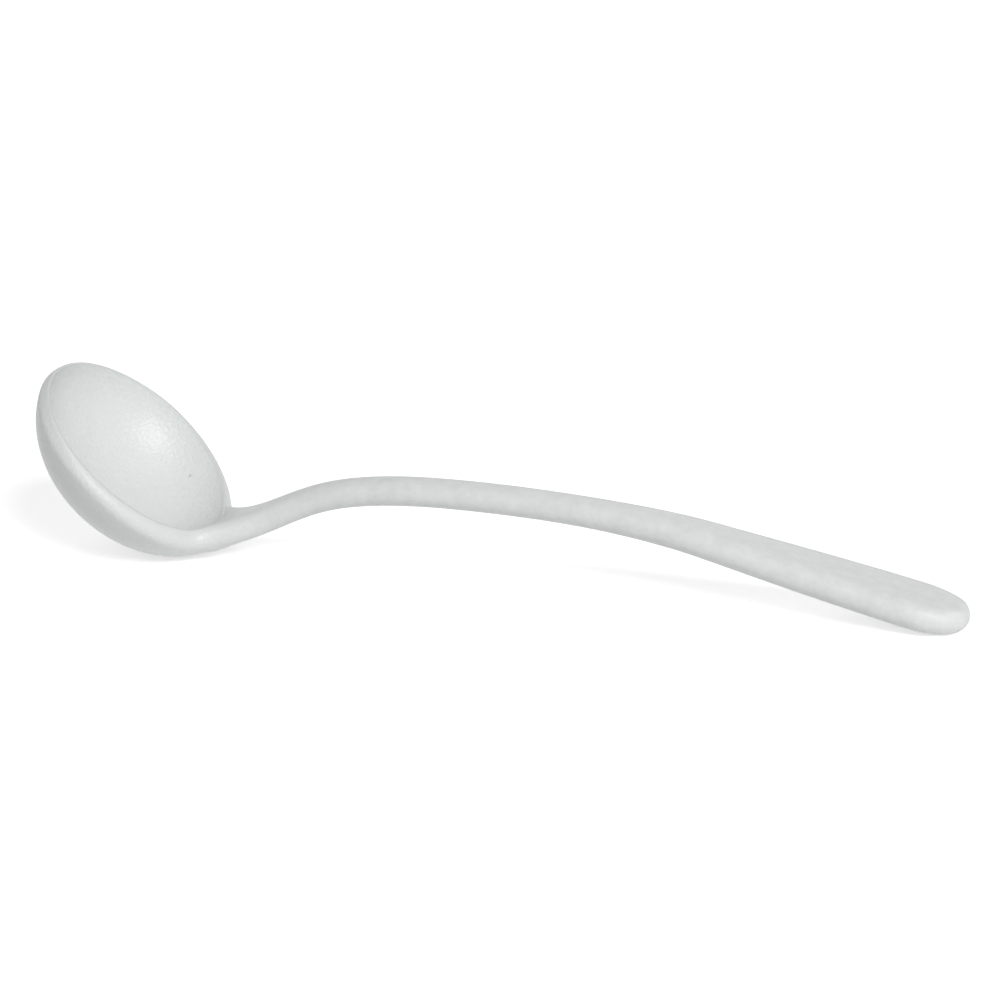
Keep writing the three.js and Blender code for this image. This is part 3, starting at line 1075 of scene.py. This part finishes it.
@dataclass(frozen=True)
class WhiteCoatFinish:
    """Satin off-white resin coat: a fine peel in the bowl, calmer and faintly mottled on the handle, with
    painted shade along the lip's tight inner edge.
    """

    light: Colour = (0.772, 0.791, 0.779)
    shade: Colour = (0.712, 0.734, 0.721)
    pit_tone: Colour = (0.36, 0.37, 0.36)
    pit_share: float = 0.15
    grain_size: float = 0.0009
    mottle_size: float = 0.0042
    bowl_mottle: float = 0.8
    handle_mottle: float = 3.4
    pit_size: float = 0.0006
    peel_height: float = 0.00027
    handle_peel: float = 0.45
    roughness_low: float = 0.29
    roughness_high: float = 0.41
    gloss: float = 0.36
    # Painted shade: a darker tone along the lip's tight inner edge, standing in for the shade where the edge
    # turns away from the light.
    edge_painted_shade: Colour = (0.66, 0.684, 0.670)
    edge_inset: float = 0.0003
    edge_drop: float = 0.0002
    edge_width: float = 0.0010
    lip_width: float = 0.005
    dullness: float = 0.09
    scar_radius: float = 0.00065
    full_share: float = 0.3

    def lip_gap(self, bench: NodeBench, place: bpy.types.NodeSocket, bowl: BowlForm, mouth: Vector) -> Amount:
        """Measures how far a place is from the lip's tight inner edge, where a darker tone is painted as
        shade.

        Args:
            bench: The tree to work in.
            place: The place to look at.
            bowl: The bowl's form.
            mouth: The middle of the lip's crest.

        Returns:
            The distance.
        """
        offset = bench.node("ShaderNodeVectorMath", {0: place, 1: mouth}, operation="SUBTRACT").outputs[0]
        _, across, _ = bench.axes(offset)
        along, rise = (bench.measured("DOT_PRODUCT", offset, way) for way in (bowl.outward, bowl.axis))
        radius = (along**2.0 + across**2.0).root()
        inset = radius - (bowl.diameter / 2 - bowl.lip_edge - bowl.lip_radius(along / radius))
        return ((inset - self.edge_inset) ** 2.0 + (rise + self.edge_drop) ** 2.0).root()

    def material(
        self, bowl_edge: float, neck: float, scar: Vector, bowl: BowlForm, mouth: Vector,
    ) -> bpy.types.Material:
        """Mixes the coat.

        Args:
            bowl_edge: Where along the ladle the bowl's strong peel ends.
            neck: Where along the ladle the handle's calm peel begins.
            scar: The place of the one larger pit inside the bowl.
            bowl: The bowl's form.
            mouth: The middle of the lip's crest.

        Returns:
            The material.
        """
        material, bench, shader = shader_bench("white_coat")
        place = bench.node("ShaderNodeTexCoord").outputs["Object"]
        grain, mottle, pits = GrainGroup.place(bench, place, self)
        along, _, _ = bench.axes(place)
        calm = along.eased(bowl_edge, neck)
        scar_gap = bench.measured("DISTANCE", place, scar)
        pit = 1.0 - scar_gap.eased(self.scar_radius * self.full_share, self.scar_radius)
        hollow = bench.math("MAXIMUM", pits, pit)
        contrast = calm * (self.handle_mottle - self.bowl_mottle) + self.bowl_mottle
        lip_gap = self.lip_gap(bench, place, bowl, mouth)
        # Painted shade: the coat is darkened in a thin band along the lip's tight inner edge, where the edge
        # turns away from the light.
        edge = 1.0 - lip_gap.eased(self.edge_width * self.full_share, self.edge_width)
        dull = bench.math("MAXIMUM", 1.0 - lip_gap.eased(self.edge_width, self.lip_width), calm)
        coated = tinted(bench, ((mottle - 0.5) * contrast + 0.5).clamped(), self.shade, self.light)
        body = tinted(bench, edge, coated, self.edge_painted_shade)
        bench.feed(shader.inputs["Base Color"], tinted(bench, hollow * self.pit_share, body, self.pit_tone))
        spread = self.roughness_high - self.roughness_low
        satin = mottle * spread + self.roughness_low + dull * self.dullness
        bench.feed(shader.inputs["Roughness"], satin)
        shader.inputs["Specular IOR Level"].default_value = self.gloss
        strength = 1.0 - calm * (1.0 - self.handle_peel)
        height = grain * strength - hollow
        relief = {"Height": height, "Strength": 1.0, "Distance": self.peel_height}
        bump = bench.node("ShaderNodeBump", relief)
        bench.feed(shader.inputs["Normal"], bump.outputs[0])
        return material


@dataclass(frozen=True)
class CastAluminiumFinish:
    """Raw cast aluminium under the coat: dull grey with sand grain and pinholes."""

    light: Colour = (0.66, 0.67, 0.68)
    shade: Colour = (0.48, 0.49, 0.50)
    grain_size: float = 0.0006
    mottle_size: float = 0.006
    pit_size: float = 0.0005
    pit_share: float = 0.5
    grain_height: float = 0.0002
    roughness_low: float = 0.42
    roughness_high: float = 0.68

    def material(self) -> bpy.types.Material:
        """Returns the raw casting's material."""
        material, bench, shader = shader_bench("cast_aluminium")
        place = bench.node("ShaderNodeTexCoord").outputs["Object"]
        grain, mottle, pits = GrainGroup.place(bench, place, self)
        tone = tinted(bench, mottle - pits * self.pit_share, self.shade, self.light)
        bench.feed(shader.inputs["Base Color"], tone)
        shader.inputs["Metallic"].default_value = 1.0
        spread = self.roughness_high - self.roughness_low
        bench.feed(shader.inputs["Roughness"], grain * spread + self.roughness_low)
        bump = bench.node("ShaderNodeBump", {"Height": grain - pits, "Distance": self.grain_height})
        bench.feed(shader.inputs["Normal"], bump.outputs[0])
        return material


Finish = WhiteCoatFinish | CastAluminiumFinish


@dataclass(frozen=True)
class Ladle:
    """The whole ladle: the white skin, and the casting that it hides."""

    skin: WhiteSkin
    coat: WhiteCoatFinish
    casting: CastAluminiumFinish
    scar_turn: float = math.radians(60.1)
    scar_climb: float = 0.767

    def scar(self) -> Vector:
        """Returns the place of the larger pit on the inside of the bowl."""
        return self.skin.mouth() + self.skin.bowl.inner_place(self.scar_turn, self.scar_climb)

    def build(self, nodes: dict[str, bpy.types.Object]) -> list[bpy.types.Object]:
        """Makes and dresses every piece.

        Args:
            nodes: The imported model's pieces by name.

        Returns:
            The pieces.
        """
        root = self.skin.root()
        neck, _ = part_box(CadNode.HANDLE_COAT.value)
        coat = self.coat.material(root.x, neck.x, self.scar(), self.skin.bowl, self.skin.mouth())
        return self.skin.build(nodes[CadNode.CAST_CORE.value], coat, self.casting.material())


def direction(azimuth: float, elevation: float) -> Vector:
    """Finds a direction from the front of the ladle.

    Args:
        azimuth: Degrees towards the right.
        elevation: Degrees upwards.

    Returns:
        The direction.
    """
    turn = math.radians(azimuth)
    rise = math.radians(elevation)
    return Vector((math.sin(turn) * math.cos(rise), -math.cos(turn) * math.cos(rise), math.sin(rise)))


@dataclass(frozen=True)
class Lamp:
    """A soft box that points at the ladle. Its angles are in degrees."""

    name: str
    azimuth: float
    elevation: float
    watts: float
    size: float = 1.8
    distance: float = 4.0

    def hang(self, target: Vector) -> bpy.types.Object:
        """Hangs the lamp.

        Args:
            target: What it points at.

        Returns:
            The lamp.
        """
        towards = direction(self.azimuth, self.elevation)
        data = bpy.data.lights.new(self.name, "AREA")
        data.shape = "DISK"
        data.size = self.size
        data.energy = self.watts
        lamp = placed(self.name, data)
        lamp.location = target + towards * self.distance
        lamp.rotation_euler = towards.to_track_quat("Z", "Y").to_euler()
        return lamp


@dataclass(frozen=True)
class Studio:
    """A white table, white surroundings and soft lamps, seen at the picture's angle."""

    target: tuple[float, float, float] = (0.0023, 0.0, 0.02645)
    azimuth: float = 18.0
    elevation: float = 17.5
    distance: float = 1.066
    lens: float = 126.0
    sensor: float = 36.0
    table_width: float = 16.0
    table_tone: float = 0.90
    table_roughness: float = 0.9
    table_lift: float = 0.62
    surround_light: float = 0.27
    lamps: tuple[Lamp, ...] = (
        Lamp("key", 43.0, 38.0, 110.0),
        Lamp("back", 190.0, 40.0, 11.0),
    )

    def build(self) -> None:
        """Sets up the table, the surroundings, the lamps and the camera."""
        self.table()
        self.surroundings()
        for lamp in self.lamps:
            lamp.hang(Vector(self.target))
        self.camera()
        bpy.context.scene.view_settings.view_transform = "Standard"

    def camera(self) -> None:
        """Stands the camera at the picture's viewing angle."""
        back = direction(self.azimuth, self.elevation)
        data = bpy.data.cameras.new("camera")
        data.lens = self.lens
        data.sensor_width = self.sensor
        camera = placed("camera", data)
        camera.location = Vector(self.target) + back * self.distance
        camera.rotation_euler = back.to_track_quat("Z", "Y").to_euler()
        bpy.context.scene.camera = camera

    def table(self) -> None:
        """Lays the white table under the ladle."""
        half = self.table_width / 2
        corners = [(-half, -half, 0.0), (half, -half, 0.0), (half, half, 0.0), (-half, half, 0.0)]
        mesh = bpy.data.meshes.new("table")
        mesh.from_pydata(corners, [], [(0, 1, 2, 3)])
        table = placed("table", mesh)
        material, bench, shader = shader_bench("table_white")
        shader.inputs["Base Color"].default_value = (self.table_tone, self.table_tone, self.table_tone, 1.0)
        shader.inputs["Roughness"].default_value = self.table_roughness
        shader.inputs["Specular IOR Level"].default_value = 0.0
        shader.inputs["Emission Color"].default_value = (1.0, 1.0, 1.0, 1.0)
        bench.feed(shader.inputs["Emission Strength"], self.seen(bench) * self.table_lift)
        mesh.materials.append(material)

    @staticmethod
    def seen(bench: NodeBench) -> Amount:
        """Returns one for rays that show the background, zero for rays that only carry its light."""
        path = bench.node("ShaderNodeLightPath")
        shown = bench.math("MAXIMUM", path.outputs["Is Camera Ray"], path.outputs["Is Glossy Ray"])
        return bench.math("MAXIMUM", shown, path.outputs["Is Transmission Ray"])

    def surroundings(self) -> None:
        """Surrounds the table with white that gives little light of its own."""
        world = bpy.data.worlds.new("surroundings")
        world.use_nodes = True
        bpy.context.scene.world = world
        bench = NodeBench(world.node_tree)
        background = world.node_tree.nodes["Background"]
        background.inputs["Color"].default_value = (1.0, 1.0, 1.0, 1.0)
        strength = self.seen(bench) * (1.0 - self.surround_light) + self.surround_light
        bench.feed(background.inputs["Strength"], strength)


def main() -> None:
    """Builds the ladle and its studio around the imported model."""
    logging.basicConfig(level=logging.INFO, format="%(name)s: %(message)s")
    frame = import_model()
    ladle = Ladle(
        skin=WhiteSkin(BowlForm(), HandleForm(), CoatWaves()),
        coat=WhiteCoatFinish(),
        casting=CastAluminiumFinish(),
    )
    for piece in ladle.build(frame["nodes"]):
        LOG.info("%s: %d faces", piece.name, len(piece.data.polygons))
    Studio().build()


if __name__ == "__main__":
    main()
